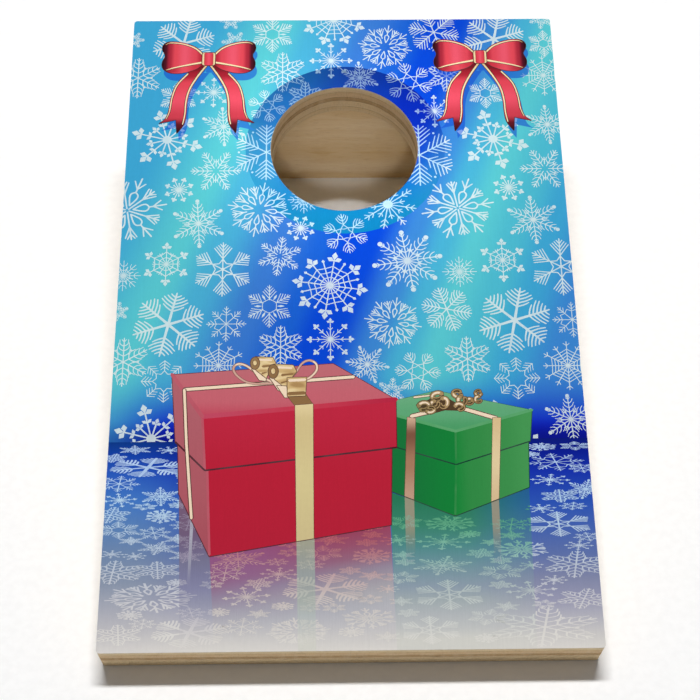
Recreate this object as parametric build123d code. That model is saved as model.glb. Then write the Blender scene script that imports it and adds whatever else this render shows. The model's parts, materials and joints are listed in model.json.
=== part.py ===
from build123d import *
import os
from math import asin, atan2, cos, hypot, sin, tan

# Tabletop cornhole board: a plywood deck with a bag hole, held at a slope by two tapered side rails
# and an upright rear panel. Millimetres, +Z up, the front edge faces -Y, the board is symmetric in X.
# The origin is on the table, under the middle of the board's bounding box.

# Deck
WIDTH = 139.7            # 5 1/2 in across
LENGTH = 215.9           # 8 1/2 in along the slope
PLY = 12.7               # 1/2 in plywood, used for every board
FILM = 0.2               # printed laminate on the deck
CORNER_RADIUS = 1.0      # sanded corners of the deck, seen from above

# Bag hole
HOLE_RADIUS = 23.6       # about 1 7/8 in across
HOLE_FROM_REAR = 51.4    # centre to the deck's rear edge, along the slope
FILM_HOLE_MARGIN = 0.1   # the laminate is trimmed this much back from the hole's wall

# Slope
REAR_HEIGHT = 63.5       # 2 1/2 in from the table to the deck's highest edge, without the laminate
RAIL_TIP = 10.0          # the rails' thin front tips are cut off this far behind the deck's front edge

# Brad nails, 18 gauge, 1 in long
BRAD_LENGTH = 25.4
BRAD_WIDTH = 1.2
BRAD_THICKNESS = 1.0
BRAD_POINT = 2.0         # length of the chisel point
BRAD_HEAD_WIDTH = 1.9
BRAD_HEAD_DEPTH = 0.6
RAIL_BRAD_STATIONS = (75.0, 112.0, 149.0, 186.0)   # along the slope, from the front edge
PANEL_BRAD_OFFSETS = (-42.0, 0.0, 42.0)            # across the deck, into the rear panel
CORNER_BRAD_HEIGHTS = (13.0, 36.0)                 # above the table, through the rear panel

# The deck's underside runs from the table at the front edge to the top of the rear panel.
TILT = asin(REAR_HEIGHT / hypot(LENGTH, PLY)) - atan2(PLY, LENGTH)
REAR_FACE = LENGTH * cos(TILT)                     # from the front edge back to the panel's outer face
FRONT_OVERHANG = (PLY + FILM) * sin(TILT)          # the sloped front edge leans this far forward
FRONT_EDGE_Y = -(REAR_FACE - FRONT_OVERHANG) / 2   # where the deck's lower front edge meets the table
PANEL_BACK_Y = FRONT_EDGE_Y + REAR_FACE
PANEL_INSIDE_Y = PANEL_BACK_Y - PLY
RAIL_X = (WIDTH - PLY) / 2                         # middle of each side rail

# Deck frame: x across, y up the slope, z out of the printed face, starting at the lower front edge
DECK = Plane(
    origin=(0, FRONT_EDGE_Y, 0),
    x_dir=(1, 0, 0),
    z_dir=(0, -sin(TILT), cos(TILT)),
)
HOLE_Y = LENGTH - HOLE_FROM_REAR


def underside_height(y):
    """Height of the deck's underside above the table at row coordinate y."""
    return (y - FRONT_EDGE_Y) * tan(TILT)


def deck_sheet(bottom, thickness, hole_radius):
    """A sheet with the deck's outline and bag hole, lying at the given height in the deck frame."""
    outline = Rectangle(WIDTH, LENGTH, align=(Align.CENTER, Align.MIN))
    outline = fillet(outline.vertices(), CORNER_RADIUS)
    hole = Pos(0, HOLE_Y) * Circle(hole_radius)
    return DECK.location * Pos(0, 0, bottom) * extrude(outline - hole, thickness)


def upright_board(front_y, back_y, x_middle, x_width):
    """A board standing on the table, its top edge bevelled to the deck's underside."""
    side_view = Polyline(
        (front_y, 0),
        (back_y, 0),
        (back_y, underside_height(back_y)),
        (front_y, underside_height(front_y)),
        close=True,
    )
    board = extrude(Plane.YZ * make_face(side_view), x_width / 2, both=True)
    return Pos(x_middle, 0, 0) * board


def brad():
    """One brad nail, head upward at z = 0 and its chisel point below."""
    head = Box(BRAD_HEAD_WIDTH, BRAD_THICKNESS, BRAD_HEAD_DEPTH, align=(Align.CENTER, Align.CENTER, Align.MAX))
    half = BRAD_WIDTH / 2
    shank_view = Polyline(
        (-half, -BRAD_HEAD_DEPTH),
        (half, -BRAD_HEAD_DEPTH),
        (half, -BRAD_LENGTH + BRAD_POINT),
        (0, -BRAD_LENGTH),
        (-half, -BRAD_LENGTH + BRAD_POINT),
        close=True,
    )
    shank = extrude(Plane.XZ * make_face(shank_view), BRAD_THICKNESS / 2, both=True)
    return head + shank


def deck_brad(x, y):
    """A brad driven square through the deck, its head flush under the laminate."""
    return DECK.location * Pos(x, y, PLY) * brad()


def corner_brad(x, z):
    """A brad driven forward through the rear panel into a side rail's end."""
    return Pos(x, PANEL_BACK_Y, z) * Rot(X=-90) * brad()


def cut(board, *groups):
    """The board with a nail slot for every brad in the groups."""
    for group in groups:
        for nail in group:
            board = board - nail
    return board


# Fasteners
side_sign = {"left": -1, "right": 1}
rail_brads = {
    side: [deck_brad(sign * RAIL_X, station) for station in RAIL_BRAD_STATIONS]
    for side, sign in side_sign.items()
}
corner_brads = {
    side: [corner_brad(sign * RAIL_X, height) for height in CORNER_BRAD_HEIGHTS]
    for side, sign in side_sign.items()
}
panel_brad_station = (REAR_FACE - PLY / 2 - PLY / 2 * sin(TILT)) / cos(TILT)   # leans back to mid-panel
panel_brads = [deck_brad(x, panel_brad_station) for x in PANEL_BRAD_OFFSETS]

# Boards
top_board = deck_sheet(0, PLY, HOLE_RADIUS)
top_board = cut(top_board, rail_brads["left"], rail_brads["right"], panel_brads)
printed_film = deck_sheet(PLY, FILM, HOLE_RADIUS + FILM_HOLE_MARGIN)
rear_panel = upright_board(PANEL_INSIDE_Y, PANEL_BACK_Y, 0, WIDTH)
rear_panel = cut(rear_panel, panel_brads, corner_brads["left"], corner_brads["right"])

parts = {
    "top_board": top_board,
    "printed_film": printed_film,
    "rear_panel": rear_panel,
    "panel_brads": Compound(children=panel_brads),
}
for side, sign in side_sign.items():
    rail = upright_board(FRONT_EDGE_Y + RAIL_TIP, PANEL_INSIDE_Y, sign * RAIL_X, PLY)
    parts[f"{side}_side_rail"] = cut(rail, rail_brads[side], corner_brads[side])
    parts[f"{side}_rail_brads"] = Compound(children=rail_brads[side])
    parts[f"{side}_corner_brads"] = Compound(children=corner_brads[side])

os.makedirs("parts", exist_ok=True)
for node, shape in parts.items():
    export_step(shape, f"parts/{node}.step")
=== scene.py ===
import json
import random
from math import atan2, cos, pi, radians, sin, tan

import bpy
import numpy as np
from mathutils import Matrix, Vector, noise
from mathutils.geometry import delaunay_2d_cdt


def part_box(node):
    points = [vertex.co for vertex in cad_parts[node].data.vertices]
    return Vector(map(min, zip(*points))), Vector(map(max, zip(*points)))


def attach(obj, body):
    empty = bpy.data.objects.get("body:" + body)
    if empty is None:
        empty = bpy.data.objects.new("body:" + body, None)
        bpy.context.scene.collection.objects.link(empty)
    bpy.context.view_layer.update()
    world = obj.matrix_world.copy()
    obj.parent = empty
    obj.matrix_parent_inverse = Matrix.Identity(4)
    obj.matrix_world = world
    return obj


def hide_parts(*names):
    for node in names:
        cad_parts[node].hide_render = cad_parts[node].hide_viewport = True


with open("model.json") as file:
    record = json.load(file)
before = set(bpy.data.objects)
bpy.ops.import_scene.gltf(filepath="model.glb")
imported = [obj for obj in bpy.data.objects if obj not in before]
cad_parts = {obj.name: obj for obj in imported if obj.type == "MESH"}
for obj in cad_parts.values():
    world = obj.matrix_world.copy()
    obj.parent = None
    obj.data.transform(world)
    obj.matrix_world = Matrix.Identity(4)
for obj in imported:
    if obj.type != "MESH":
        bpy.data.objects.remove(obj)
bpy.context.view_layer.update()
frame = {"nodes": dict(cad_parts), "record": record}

# ---- The deck frame: u across, v up the slope from the front edge, n out of the plywood's face, in mm ----

MM = 0.001
bag_hole = next(mount for mount in frame["record"]["mounts"] if mount["name"] == "bag_hole")
TILT = atan2(-bag_hole["axis"][1], bag_hole["axis"][2])
deck_low, deck_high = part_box("top_board")
span = deck_high - deck_low
HALF = span.x / MM / 2
LENGTH = (span.y * cos(TILT) - span.z * sin(TILT)) / cos(2 * TILT) / MM
PLY = (span.z * cos(TILT) - span.y * sin(TILT)) / cos(2 * TILT) / MM
FILM = (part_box("printed_film")[1].z - deck_high.z) / cos(TILT) / MM
DECK = (
    Matrix.Translation((0, deck_low.y, PLY * cos(TILT) * MM))
    @ Matrix.Rotation(TILT, 4, "X")
    @ Matrix.Scale(MM, 4)
)
HOLE_V = (DECK.inverted() @ Vector(bag_hole["pos_m"])).y
HOLE_RADIUS = bag_hole["dims"]["r_mm"]
FILM_HOLE_RADIUS = HOLE_RADIUS + 0.1
CORNER_RADIUS = 1.0

# ---- Shader nodes ----


def linear(colour):
    """Scene-linear RGBA from a hex colour such as 5ACBD6."""
    channels = [int(colour[i:i + 2], 16) / 255 for i in (0, 2, 4)]
    return [c / 12.92 if c <= 0.04045 else ((c + 0.055) / 1.055) ** 2.4 for c in channels] + [1.0]


class Shader:
    """One Principled material. Most methods add a node and return its output socket."""

    def __init__(self, name, roughness=0.5, specular=0.5):
        self.material = bpy.data.materials.new(name)
        self.material.use_nodes = True
        self.tree = self.material.node_tree
        self.surface = self.tree.nodes["Principled BSDF"]
        self.surface.inputs["Roughness"].default_value = roughness
        self.surface.inputs["Specular IOR Level"].default_value = specular

    def add(self, kind, inputs, output=0, **settings):
        node = self.tree.nodes.new("ShaderNode" + kind)
        for key, value in settings.items():
            setattr(node, key, value)
        for key, value in inputs.items():
            if isinstance(value, bpy.types.NodeSocket):
                self.tree.links.new(value, node.inputs[key])
            else:
                node.inputs[key].default_value = value
        return node.outputs[output]

    def math(self, operation, a, b=0.0, c=0.0):
        return self.add("Math", {0: a, 1: b, 2: c}, operation=operation)

    def span(self, value, low, high, to_low=0.0, to_high=1.0, smooth=False):
        """value carried from low..high to to_low..to_high, and held at the ends."""
        inputs = {0: value, 1: low, 2: high, 3: to_low, 4: to_high}
        return self.add("MapRange", inputs, interpolation_type="SMOOTHSTEP" if smooth else "LINEAR")

    def mix(self, factor, a, b, blend="MIX"):
        a, b = [linear(c) if isinstance(c, str) else c for c in (a, b)]
        return self.add("Mix", {0: factor, 6: a, 7: b}, output=2, data_type="RGBA", blend_type=blend)

    def ramp(self, value, stops, interpolation="EASE"):
        """A colour for each value. The stops are values and hex colours by turns: 0 F0E0D0 5 5ACBD6."""
        words = stops.split()
        places = [float(word) for word in words[::2]]
        low, high = places[0], places[-1]
        colour = self.add("ValToRGB", {0: self.span(value, low, high)})
        ramp = colour.node.color_ramp
        ramp.interpolation = interpolation
        while len(ramp.elements) < len(places):
            ramp.elements.new(1.0)
        for element, place, hex_colour in zip(ramp.elements, places, words[1::2]):
            element.position = (place - low) / (high - low)
            element.color = linear(hex_colour)
        return colour

    def noise(self, vector, scale, detail=3.0, roughness=0.5):
        inputs = {"Vector": vector, "Scale": scale, "Detail": detail, "Roughness": roughness}
        return self.add("TexNoise", inputs)

    def stretched(self, vector, x=1.0, y=1.0, z=1.0):
        return self.add("VectorMath", {0: vector, 1: (x, y, z)}, operation="MULTIPLY")

    def local(self, board=Matrix.Identity(4)):
        """The surface point in mm, in the frame of that board."""
        place = self.add("TexCoord", {}, output=3)
        back = board.inverted()
        scale = (1 / MM, 1 / MM, 1 / MM)
        inputs = {"Vector": place, "Location": back.translation, "Rotation": back.to_euler(), "Scale": scale}
        return self.add("Mapping", inputs, vector_type="POINT")

    def axes(self, vector):
        return tuple(self.add("SeparateXYZ", {0: vector}).node.outputs)

    def finish(self, colour, roughness=None, height=None, distance=0.0):
        """Links what is given to the surface, with the bumps' distance in mm, and returns the material."""
        if height:
            height = self.add("Bump", {"Height": height, "Distance": distance * MM, "Strength": 1.0})
        for name, socket in (("Base Color", colour), ("Roughness", roughness), ("Normal", height)):
            if socket:
                self.tree.links.new(socket, self.surface.inputs[name])
        return self.material


# ---- Outlines and meshes ----

CDT_GAP = 1e-5
SQUARE = ((-1, -1), (1, -1), (1, 1), (-1, 1))


def vec(x, y):
    return Vector((x, y))


def pairs(*numbers):
    return list(zip(numbers[::2], numbers[1::2]))


def path(*numbers):
    """Points from their x and y by turns."""
    return [vec(x, y) for x, y in pairs(*numbers)]


def shoelace(outline):
    return sum(a.x * b.y - b.x * a.y for a, b in zip(outline, outline[1:] + outline[:1])) / 2


def circle(centre, radius, count):
    steps = [2 * pi * i / count for i in range(count)]
    return [centre + radius * vec(cos(a), sin(a)) for a in steps]


def rounded_rectangle(low, high, radius, steps=5):
    left, right, bottom, top = low.x + radius, high.x - radius, low.y + radius, high.y - radius
    outline = []
    for x, y, start in ((right, bottom, -90), (right, top, 0), (left, top, 90), (left, bottom, 180)):
        for step in range(steps + 1):
            angle = radians(start + 90 * step / steps)
            outline.append(vec(x, y) + radius * vec(cos(angle), sin(angle)))
    return outline


def curve(points, steps=5):
    """A smooth line through the points."""
    points = [Vector(p) for p in points]
    last = len(points) - 1
    line = []
    for i in range(last):
        a, b, c, d = [points[min(max(i + k, 0), last)] for k in (-1, 0, 1, 2)]
        for step in range(steps):
            t = step / steps
            line.append(0.5 * (2 * b + (c - a) * t + (2 * a - 5 * b + 4 * c - d) * t * t
                               + (3 * b - a - 3 * c + d) * t * t * t))
    return line + [points[-1]]


def pen(points, width, end_width=None, pointed=True):
    """The outlines of a pen line through points: one convex piece for each straight stretch."""
    end_width = width if end_width is None else end_width
    count = len(points) - 1
    pieces = []
    for i, (a, b) in enumerate(zip(points, points[1:])):
        ahead = (b - a).normalized()
        side = vec(-ahead.y, ahead.x)
        near, far = [(width + (end_width - width) * k / count) / 2 for k in (i, i + 1)]
        outline = [a - near * side, b - far * side, b + far * side, a + near * side]
        pieces.append([*outline[:2], b + far * ahead, *outline[2:], a - near * ahead] if pointed else outline)
    return pieces


def enclosed(outline, x, y):
    """The numbers of the places inside: a level ray crosses the outline an odd number of times."""
    corners = [(p.x, p.y) for p in outline]
    xs, ys = zip(*corners)
    near = np.flatnonzero((x > min(xs)) & (x < max(xs)) & (y > min(ys)) & (y < max(ys)))
    x, y = x[near], y[near]
    inside = np.zeros(len(near), dtype=bool)
    for (ax, ay), (bx, by) in zip(corners, corners[1:] + corners[:1]):
        if ay != by:
            inside ^= ((ay > y) != (by > y)) & (ax + (y - ay) * ((bx - ax) / (by - ay)) > x)
    return near[inside]


def split(outlines):
    """Overlapping outlines cut into triangles: the points, and for each triangle the outlines over it."""
    points, faces = [], []
    for outline in outlines:
        outline = outline if shoelace(outline) > 0 else outline[::-1]
        faces.append(list(range(len(points), len(points) + len(outline))))
        points.extend(outline)
    points, _, triangles, _, _, _ = delaunay_2d_cdt(points, [], faces, 0, CDT_GAP)
    middle_x, middle_y = np.array(points)[np.array(triangles)].mean(axis=1).T
    over = [set() for _ in triangles]
    for number, outline in enumerate(outlines):
        for index in enclosed(outline, middle_x, middle_y):
            over[index].add(number)
    return points, triangles, over


def mesh_object(name, points, faces, placement, materials, slots, smooth_angle=None):
    mesh = bpy.data.meshes.new(name)
    mesh.from_pydata([placement @ Vector(p) for p in points], [], faces)
    for material in materials:
        mesh.materials.append(material)
    mesh.polygons.foreach_set("material_index", slots)
    mesh.validate()
    if smooth_angle is not None:
        mesh.shade_smooth()
        mesh.set_sharp_from_angle(angle=radians(smooth_angle))
    thing = bpy.data.objects.new(name, mesh)
    bpy.context.scene.collection.objects.link(thing)
    return thing


class Relief:
    """A thin flat layer on the deck, gathered from many outlines: a top, a bottom and the walls between."""

    def __init__(self, low, high):
        self.low, self.high = low, high
        self.points, self.faces, self.labels = [], [], []

    def lay(self, outlines, pick, wall_label=None):
        """Adds the triangles that pick() gives a label. Its argument is the set of outlines over each one."""
        flat, triangles, over = split(outlines)
        kept = [(tri, pick(ids)) for tri, ids in zip(triangles, over)]
        kept = [(tri, label) for tri, label in kept if label is not None]
        used = sorted({i for tri, _ in kept for i in tri})
        top = {i: len(self.points) + 2 * k for k, i in enumerate(used)}
        for i in used:
            self.points += [(*flat[i], self.high), (*flat[i], self.low)]
        owner = {}
        for tri, label in kept:
            self.faces.append([top[i] for i in tri])
            self.faces.append([top[i] + 1 for i in reversed(tri)])
            self.labels += [label, wall_label or label]
            for a, b in zip(tri, tri[1:] + tri[:1]):
                owner[(a, b)] = label
        for (a, b), label in owner.items():
            if (b, a) not in owner:
                self.faces.append([top[a] + 1, top[b] + 1, top[b], top[a]])
                self.labels.append(wall_label or label)

    def build(self, name, materials):
        labels = sorted(set(self.labels))
        slots = [labels.index(label) for label in self.labels]
        return mesh_object(name, self.points, self.faces, DECK, [materials[k] for k in labels], slots)


# ---- The print: regions of the picture and their colours ----

HORIZON = 62.5          # where the printed sky meets the printed ice, up from the front edge
RING_RADIUS = 32.0      # the darker disc printed round the bag hole
BOW_CENTRES = path(-44.5, 200, 45.5, 200.2)
BOW_SHADOW_SHIFT = vec(0.7, -3.0)
BAND_SLOPE = 0.36       # the sky's colour bands lean this much across for each mm up the deck
LINE = 0.46             # the usual width of the pen line round a shape

TURQUOISE, SKY_BLUE, AZURE, COBALT = "55C3CC", "3AA1CE", "3882CC", "155CCA"
ROYAL, DEEP_BLUE, NAVY = "0044CE", "0620BE", "020C7E"


class Drawing:
    """Coloured shapes on the deck, back to front."""

    def __init__(self):
        self.labels, self.outlines = [], []

    def fill(self, label, outline):
        self.labels.append(label)
        self.outlines.append(outline)

    def line(self, label, points, width, end_width=None):
        for piece in pen(points, width, end_width):
            self.fill(label, piece)

    def shape(self, label, outline, line_label, line_width=LINE):
        """A filled shape with a pen line round it."""
        self.line(line_label, outline + outline[:1], line_width)
        self.fill(label, outline)

    def lay_on(self, relief):
        """Adds the drawing to a relief, cut off at the board's outline and at the hole."""
        labels = ["board", "hole"] + self.labels
        relief.lay([board_outline, film_hole] + self.outlines,
                   lambda ids: labels[max(ids)] if 0 in ids and 1 not in ids and max(ids) > 1 else None)


def draw_bow(centre):
    """A ribbon bow seen from the front: two tails, two loops and a knot."""
    art = Drawing()
    loop = path(-1.6, 1.9, -4.6, 4.9, -9, 6.7, -13, 7.1, -15, 6, -15.4, 4, -14.4, 1.4, -15.3, -1.4,
                -14.9, -3.8, -12.6, -5.5, -8.6, -5.6, -4.2, -4.1, -1.6, -2)
    inside = path(-14.6, -4.1, -11, -3.2, -6.5, -2.2, -1.6, -1.1, -1.6, -2, -4.2, -4, -8.6, -5.4, -12.6, -5.3)
    tail_out = path(-3, -2.6, -7, -6, -10.3, -10.4, -11.8, -15.4, -12.4, -20.6, -13.4, -23.8, -15.3, -25.6)
    notch = path(-9.9, -24.2, -9.9, -24.2)
    tail_in = path(-9.5, -29.4, -7.4, -26, -6.8, -22, -6.6, -17, -5.6, -12.2, -3.2, -7.2, -0.3, -2.6)
    top_edge = path(-1.8, 1.6, -4.7, 4.5, -9, 6.3, -12.9, 6.7, -14.4, 6)
    low_edge = path(-13.9, -4.4, -11, -3.4, -6.5, -2.3, -1.8, -1.3)

    def placed(points, side, right=0.0, up=0.0):
        return [centre + vec(side * (p.x + right), p.y + up) for p in curve(points)]

    for side in (1, -1):
        outline = placed(tail_out, side) + placed(notch, side)[:1] + placed(tail_in, side)
        art.shape("bow_tail", outline, "bow_line", 0.4)
        art.line("bow_line", placed(tail_out[1:-1], side, 0.42), 0.66, 0.4)
        art.line("bow_gold", placed(tail_out[1:-1], side, 0.28), 0.46, 0.24)
        art.line("bow_line", placed(tail_in[1:], side, -0.5), 0.4, 0.8)
        art.line("bow_gold", placed(tail_in[1:], side, -0.36), 0.3, 0.6)
    for side in (1, -1):
        art.shape("bow_loop", placed(loop, side), "bow_line", 0.45)
        art.fill("bow_inside", placed(inside, side))
        art.line("bow_line", placed(top_edge, side, 0.04, -0.14), 0.74, 0.4)
        art.line("bow_gold", placed(top_edge, side), 0.54, 0.26)
        art.line("bow_line", placed(low_edge, side, 0.0, -0.1), 0.5, 0.95)
        art.line("bow_gold", placed(low_edge, side), 0.32, 0.7)
    knot = vec(2.1, 2.55)
    art.shape("bow_gold", rounded_rectangle(centre - knot, centre + knot, 0.7), "bow_line", 0.5)
    knot.x -= 0.6
    art.fill("bow_knot", rounded_rectangle(centre - knot, centre + knot, 0.5))
    return art


def shadow_outlines(bow):
    shapes = [outline for label, outline in zip(bow.labels, bow.outlines)
              if label in ("bow_loop", "bow_tail", "bow_knot")]
    return [[p + BOW_SHADOW_SHIFT for p in outline] for outline in shapes]


bows = [draw_bow(centre) for centre in BOW_CENTRES]
board_outline = rounded_rectangle(vec(-HALF, 0), vec(HALF, LENGTH), CORNER_RADIUS)
film_hole = circle(vec(0, HOLE_V), FILM_HOLE_RADIUS, 128)

# Parts of the picture, in painting order: a later one covers an earlier one.
REGIONS = [
    ("sky", board_outline),
    ("ring", circle(vec(0.3, HOLE_V), RING_RADIUS, 160)),
    *[("bow_shadow", outline) for bow in bows for outline in shadow_outlines(bow)],
    ("ice", path(-HALF, 0, HALF, 0, HALF, HORIZON, -HALF, HORIZON)),
    ("green_reflection", path(11.6, 46.3, 12.5, 0, 51, 0, 51.8, 47.4, 30.2, 38.8)),
    ("tan_reflection", path(15.9, 44.8, 15.8, 25, 18.4, 25, 18.6, 43.7)),
    ("tan_reflection", path(40.7, 43, 40.6, 25, 42.6, 25, 42.9, 43.9)),
    ("side_reflection", path(-48.8, 46.3, -47, 0, -37.5, 0, -39.5, 27.3)),
    ("pale_reflection", path(-45.3, 38.7, -45.6, 16, -44.9, 16, -44.4, 36.8)),
    ("red_reflection", path(-39.5, 27.3, -37.5, 0, 12.5, 0, 11.6, 36.1)),
    ("gold_reflection", path(-15.1, 31.4, -14.6, 0, -9.6, 0, -10, 32.3)),
]
ABOVE_HORIZON = ("sky", "ring", "bow_shadow")


def sky_colour(s, u, v):
    lean = s.math("MULTIPLY_ADD", v, -BAND_SLOPE, BAND_SLOPE * 210 + 22)
    band = s.math("ADD", u, lean)
    bands = s.ramp(band, f"-45 {SKY_BLUE} -24 {SKY_BLUE} 0 {TURQUOISE} 12 45A9CE 30 3675C9 44 {COBALT} "
                         f"52 {ROYAL} 60 {ROYAL} 72 {AZURE} 82 44ACCE 91 {TURQUOISE} 103 49B6CC "
                         f"114 {SKY_BLUE} 128 {AZURE}")
    left_light = s.span(u, -70, -52, 0.45, 0.0, smooth=True)
    dusk = s.span(v, 85, 65, 0.0, 1.0, smooth=True)
    dusk = s.math("SUBTRACT", dusk, s.math("MULTIPLY", dusk, left_light))
    deep = s.mix(dusk, bands, DEEP_BLUE)
    edge = s.span(v, 70, HORIZON, 0.0, 0.9, smooth=True)
    return s.mix(s.math("SUBTRACT", edge, s.math("MULTIPLY", edge, left_light)), deep, NAVY)


def ring_colour(s, u, v):
    shade = s.ramp(v, "150 E4F2FA 164 B8CDE8 178 7C9AD2 196 587DAE")
    shaded = s.mix(1.0, sky_colour(s, u, v), shade, blend="MULTIPLY")
    return s.mix(s.span(v, 166, 138, 0.0, 0.88, smooth=True), shaded, "0A86B6")


def bow_shadow_colour(s, u, v):
    return s.mix(0.72, sky_colour(s, u, v), "0E4CC4")


def ice_colour(s, u, v):
    right = s.ramp(v, "0 DEDAD4 4 D0CDCB 9 B6B5C0 14 9797B3 20 8186A8 27 5A6DAA 34 425EAE 42 244AB2 "
                      f"52 0C24A6 58 020C8C {HORIZON} 020A74", "LINEAR")
    left = s.ramp(v, "0 DCD8D4 6 C2C0C4 12 ACAEBA 20 8A96AC 28 7088AC 36 5A82B8 44 4278C4 52 285ABC "
                     f"58 1040A8 {HORIZON} 063684", "LINEAR")
    return s.mix(s.span(u, -64, -40, 1.0, 0.15, smooth=True), right, left)


def red_reflection_colour(s, u, v):
    below = s.math("SUBTRACT", s.span(u, -39.6, 11.8, 27.4, 36.2), v)
    tint = s.ramp(below, "0 9C4056 4 9B5068 8 97647A 12 98899A 17 AAA5AC 22 BABABC 30 D4D2CE", "LINEAR")
    to_left = s.math("MULTIPLY", s.span(u, -2, -30, 0.0, 0.45), s.span(v, 9, 24, 0.1, 1.0))
    return s.mix(s.span(v, 3, 16, 0.0, 0.95), ice_colour(s, u, v), s.mix(to_left, tint, "8A66A0"))


def reflection(fade, stops):
    """The ice, tinted with these colours at rising v as far as fade() says."""
    return lambda s, u, v: s.mix(fade(s, u, v), ice_colour(s, u, v), s.ramp(v, stops, "LINEAR"))


side_reflection_colour = reflection(
    lambda s, u, v: s.span(v, 4, 14, 0.0, 0.95),
    "6 BBB7BB 10 A4A4B6 14 9596AD 18 8686A6 22 7D7C9C 26 787590 30 746684 34 735C76 46 7A5C70")
green_reflection_colour = reflection(
    lambda s, u, v: s.span(u, 34, 51.5, 0.97, 0.4),
    "3 D4D3CC 6 C4C6C5 10 B5BABD 14 A4AFB2 18 8E9EAC 22 7C98A3 26 669298 30 4E8B88 36 388468 44 257850")
gold_reflection_colour = reflection(
    lambda s, u, v: 0.95,
    "3 D6D5CC 6 C6C8C5 10 B6BDBC 14 ACB3AC 18 A2A7A4 22 9CA2A0 27 9EA196 31 A5A48E 36 969C8A 46 A08C74")


def ribbon_reflection(base_colour, fade_low, fade_high, colour):
    """A ribbon's reflection, which fades into the one round it towards the front edge."""
    return lambda s, u, v: s.mix(s.span(v, fade_low, fade_high, 0.0, 0.85, smooth=True), base_colour(s, u, v),
                                 colour)


# For each region: its colour, its snowflakes' ink at rising v, and how well the ink covers at rising v
REGION_PAINT = {
    "sky": (sky_colour, f"{HORIZON} D8E6E6 200 D8E6E6", [(HORIZON, 0.84), (200, 0.84)]),
    "ring": (ring_colour, "140 C8E8F2 180 C8E8F2", [(140, 0.78), (165, 0.7), (180, 0.36)]),
    "bow_shadow": (bow_shadow_colour, "170 A8BCE8 200 A8BCE8", [(170, 0.45), (200, 0.45)]),
    "ice": (ice_colour, "4 E4E1DB 10 DCD9D7 16 D2D2D8 24 C6CEDA 32 C0D2E4 44 BCDAF0 56 BCD6F6",
            [(2, 0.82), (30, 0.88), (60, 0.9)]),
    "red_reflection": (red_reflection_colour, "3 E2DED8 10 D8D2CC 15 D4C8C2 20 CEB4B2 26 C08C90 32 BE686E",
                       [(3, 0.78), (30, 0.82)]),
    "side_reflection": (side_reflection_colour, "3 E0DCD8 10 CECAD0 18 B6B6C4 26 A49CB2 34 9A8EA4",
                        [(3, 0.7), (30, 0.8)]),
    "green_reflection": (green_reflection_colour,
                         "3 E2E0DA 10 D2D6D2 16 C2CCCA 22 B0C6C2 28 92C2B4 34 6EB692 44 4CA070",
                         [(3, 0.78), (30, 0.84)]),
    "tan_reflection": (ribbon_reflection(green_reflection_colour, 26, 38, "A09682"), "26 A6BCBC 44 7CA884",
                       [(3, 0.7), (30, 0.7)]),
    "pale_reflection": (ribbon_reflection(side_reflection_colour, 17, 32, "B4B4C2"), "18 ACACBE 34 9A8EA4",
                        [(3, 0.7), (30, 0.7)]),
    "gold_reflection": (gold_reflection_colour, "3 DAD8D2 14 C6C8C0 30 BEBAAA", [(2, 0.6), (40, 0.6)]),
}
BELOW_HORIZON = [name for name in REGION_PAINT if name not in ABOVE_HORIZON]


def finish_print(s, deck_point, colour):
    """Satin printed film: wood grain showing through, a fine mottle and small gloss changes."""
    grain = s.noise(s.stretched(deck_point, 2.2, 0.09, 1.0), 1.0, 4.0, 0.6)
    mottle = s.noise(deck_point, 0.9, 2.0)
    speckle = s.noise(deck_point, 6.0, 2.0, 0.6)
    tone = s.span(grain, 0.3, 0.7, 0.975, 1.012)
    tone = s.math("MULTIPLY", tone, s.span(mottle, 0.3, 0.7, 0.985, 1.01))
    grey = s.add("CombineColor", {0: tone, 1: tone, 2: tone})
    rough = s.span(s.math("ADD", mottle, s.math("MULTIPLY", speckle, 0.3)), 0.35, 0.9, 0.36, 0.5)
    height = s.math("ADD", grain, s.math("MULTIPLY", speckle, 0.25))
    return s.finish(s.mix(1.0, colour, grey, blend="MULTIPLY"), rough, height, 0.05)


def print_shader(name):
    """A shader, and the deck point, u and v of its surface point."""
    s = Shader(name, roughness=0.42, specular=0.25)
    deck_point = s.local(DECK)
    return (s, deck_point, *s.axes(deck_point)[:2])


film_materials, ink_materials = {}, {}
for region, (region_colour, ink, cover) in REGION_PAINT.items():
    s, deck_point, u, v = print_shader("print_" + region)
    film_materials[region] = finish_print(s, deck_point, region_colour(s, u, v))

    s, deck_point, u, v = print_shader("snow_ink_" + region)
    opacity = s.span(v, cover[0][0], cover[1][0], cover[0][1], cover[1][1])
    for (low, _), (high, share) in zip(cover[1:], cover[2:]):
        opacity = s.add("Mix", {0: s.span(v, low, high), 2: opacity, 3: share}, data_type="FLOAT")
    patchy = s.span(s.noise(deck_point, 0.25, 2.0), 0.3, 0.7, 0.86, 1.06)
    opacity = s.math("MULTIPLY", opacity, patchy)
    inked = s.mix(opacity, region_colour(s, u, v), s.ramp(v, ink, "LINEAR"))
    ink_materials[region] = finish_print(s, deck_point, inked)

s, deck_point, u, v = print_shader("print_edge")
film_materials["edge"] = finish_print(s, deck_point, s.mix(0.5, "D8D2C6", "E6E0D6"))

# ---- The printed film ----


def topmost_region(ids):
    """The topmost region among the outlines with these numbers, or None off the board or in the hole."""
    if 0 not in ids or len(REGIONS) in ids:
        return None
    return REGIONS[max(ids)][0]


film = Relief(0, FILM)
film.lay([outline for _, outline in REGIONS] + [film_hole], topmost_region, wall_label="edge")
printed_sheet = film.build("printed_sheet", film_materials)
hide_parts("printed_film")
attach(printed_sheet, "root")

# ---- Snowflakes: each style is a few marks on a unit circle, repeated round the centre ----

INK = 0.02              # how far the snow's ink stands above and sinks into the film
PEN_BASE, PEN_GROWTH = 0.17, 0.018
ICE_HEFT = 1.3          # marks on the ice are flattened, so they are drawn heavier


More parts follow.
